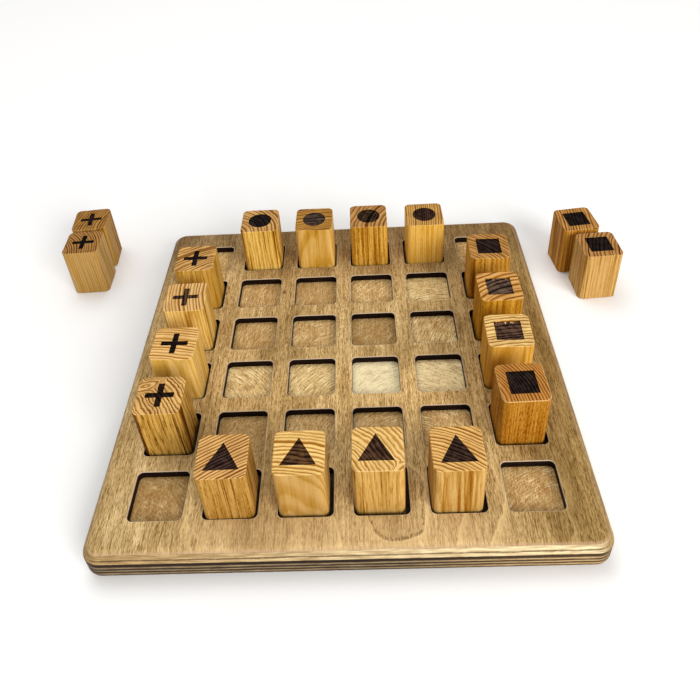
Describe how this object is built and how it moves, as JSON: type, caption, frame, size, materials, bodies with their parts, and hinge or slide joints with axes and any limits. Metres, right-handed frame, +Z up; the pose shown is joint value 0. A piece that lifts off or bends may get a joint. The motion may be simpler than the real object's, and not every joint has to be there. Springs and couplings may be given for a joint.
{
  "type": "pocket board game set",
  "caption": "Square plywood board with a grid of shallow square pockets, and square hardwood blocks that stand in them, each with a shape engraved in its top.",
  "frame": {"origin": "centre of the board's flat underside", "axes": "+Z up out of the pockets, +Y towards the row of circle blocks (the back), +X towards the column of square blocks (the right)"},
  "size_m": [0.3318, 0.2292, 0.0441],
  "materials": {
    "window_plate_birch": "satin, brown-stained birch plywood, window walls charred by the laser",
    "base_plate_birch": "satin, brown-stained birch plywood",
    "circle_block_ash": "satin, oiled ash, dark laser engraving",
    "plus_block_ash": "satin, oiled ash, dark laser engraving",
    "square_block_ash": "satin, oiled ash, dark laser engraving",
    "triangle_block_ash": "satin, oiled ash, dark laser engraving"
  },
  "bodies": {
    "board": {"window_plate": "window_plate_birch", "base_plate": "base_plate_birch"},
    "circle_block_1": {"circle_block_1": "circle_block_ash"},
    "circle_block_2": {"circle_block_2": "circle_block_ash"},
    "circle_block_3": {"circle_block_3": "circle_block_ash"},
    "circle_block_4": {"circle_block_4": "circle_block_ash"},
    "plus_block_1": {"plus_block_1": "plus_block_ash"},
    "plus_block_2": {"plus_block_2": "plus_block_ash"},
    "plus_block_3": {"plus_block_3": "plus_block_ash"},
    "plus_block_4": {"plus_block_4": "plus_block_ash"},
    "square_block_1": {"square_block_1": "square_block_ash"},
    "square_block_2": {"square_block_2": "square_block_ash"},
    "square_block_3": {"square_block_3": "square_block_ash"},
    "square_block_4": {"square_block_4": "square_block_ash"},
    "triangle_block_1": {"triangle_block_1": "triangle_block_ash"},
    "triangle_block_2": {"triangle_block_2": "triangle_block_ash"},
    "triangle_block_3": {"triangle_block_3": "triangle_block_ash"},
    "triangle_block_4": {"triangle_block_4": "triangle_block_ash"},
    "plus_block_5": {"plus_block_5": "plus_block_ash"},
    "plus_block_6": {"plus_block_6": "plus_block_ash"},
    "square_block_5": {"square_block_5": "square_block_ash"},
    "square_block_6": {"square_block_6": "square_block_ash"}
  },
  "joints": [
    {"name": "circle_block_1_lift", "type": "slide", "parent": "board", "child": "circle_block_1", "axis": [0, 0, 1], "range_m": [0, 0.04]},
    {"name": "circle_block_2_lift", "type": "slide", "parent": "board", "child": "circle_block_2", "axis": [0, 0, 1], "range_m": [0, 0.04]},
    {"name": "circle_block_3_lift", "type": "slide", "parent": "board", "child": "circle_block_3", "axis": [0, 0, 1], "range_m": [0, 0.04]},
    {"name": "circle_block_4_lift", "type": "slide", "parent": "board", "child": "circle_block_4", "axis": [0, 0, 1], "range_m": [0, 0.04]},
    {"name": "plus_block_1_lift", "type": "slide", "parent": "board", "child": "plus_block_1", "axis": [0, 0, 1], "range_m": [0, 0.04]},
    {"name": "plus_block_2_lift", "type": "slide", "parent": "board", "child": "plus_block_2", "axis": [0, 0, 1], "range_m": [0, 0.04]},
    {"name": "plus_block_3_lift", "type": "slide", "parent": "board", "child": "plus_block_3", "axis": [0, 0, 1], "range_m": [0, 0.04]},
    {"name": "plus_block_4_lift", "type": "slide", "parent": "board", "child": "plus_block_4", "axis": [0, 0, 1], "range_m": [0, 0.04]},
    {"name": "square_block_1_lift", "type": "slide", "parent": "board", "child": "square_block_1", "axis": [0, 0, 1], "range_m": [0, 0.04]},
    {"name": "square_block_2_lift", "type": "slide", "parent": "board", "child": "square_block_2", "axis": [0, 0, 1], "range_m": [0, 0.04]},
    {"name": "square_block_3_lift", "type": "slide", "parent": "board", "child": "square_block_3", "axis": [0, 0, 1], "range_m": [0, 0.04]},
    {"name": "square_block_4_lift", "type": "slide", "parent": "board", "child": "square_block_4", "axis": [0, 0, 1], "range_m": [0, 0.04]},
    {"name": "triangle_block_1_lift", "type": "slide", "parent": "board", "child": "triangle_block_1", "axis": [0, 0, 1], "range_m": [0, 0.04]},
    {"name": "triangle_block_2_lift", "type": "slide", "parent": "board", "child": "triangle_block_2", "axis": [0, 0, 1], "range_m": [0, 0.04]},
    {"name": "triangle_block_3_lift", "type": "slide", "parent": "board", "child": "triangle_block_3", "axis": [0, 0, 1], "range_m": [0, 0.04]},
    {"name": "triangle_block_4_lift", "type": "slide", "parent": "board", "child": "triangle_block_4", "axis": [0, 0, 1], "range_m": [0, 0.04]},
    {"name": "plus_block_5_lift", "type": "slide", "parent": "board", "child": "plus_block_5", "axis": [0, 0, 1], "range_m": [0, 0.04]},
    {"name": "plus_block_6_lift", "type": "slide", "parent": "board", "child": "plus_block_6", "axis": [0, 0, 1], "range_m": [0, 0.04]},
    {"name": "square_block_5_lift", "type": "slide", "parent": "board", "child": "square_block_5", "axis": [0, 0, 1], "range_m": [0, 0.04]},
    {"name": "square_block_6_lift", "type": "slide", "parent": "board", "child": "square_block_6", "axis": [0, 0, 1], "range_m": [0, 0.04]}
  ]
}
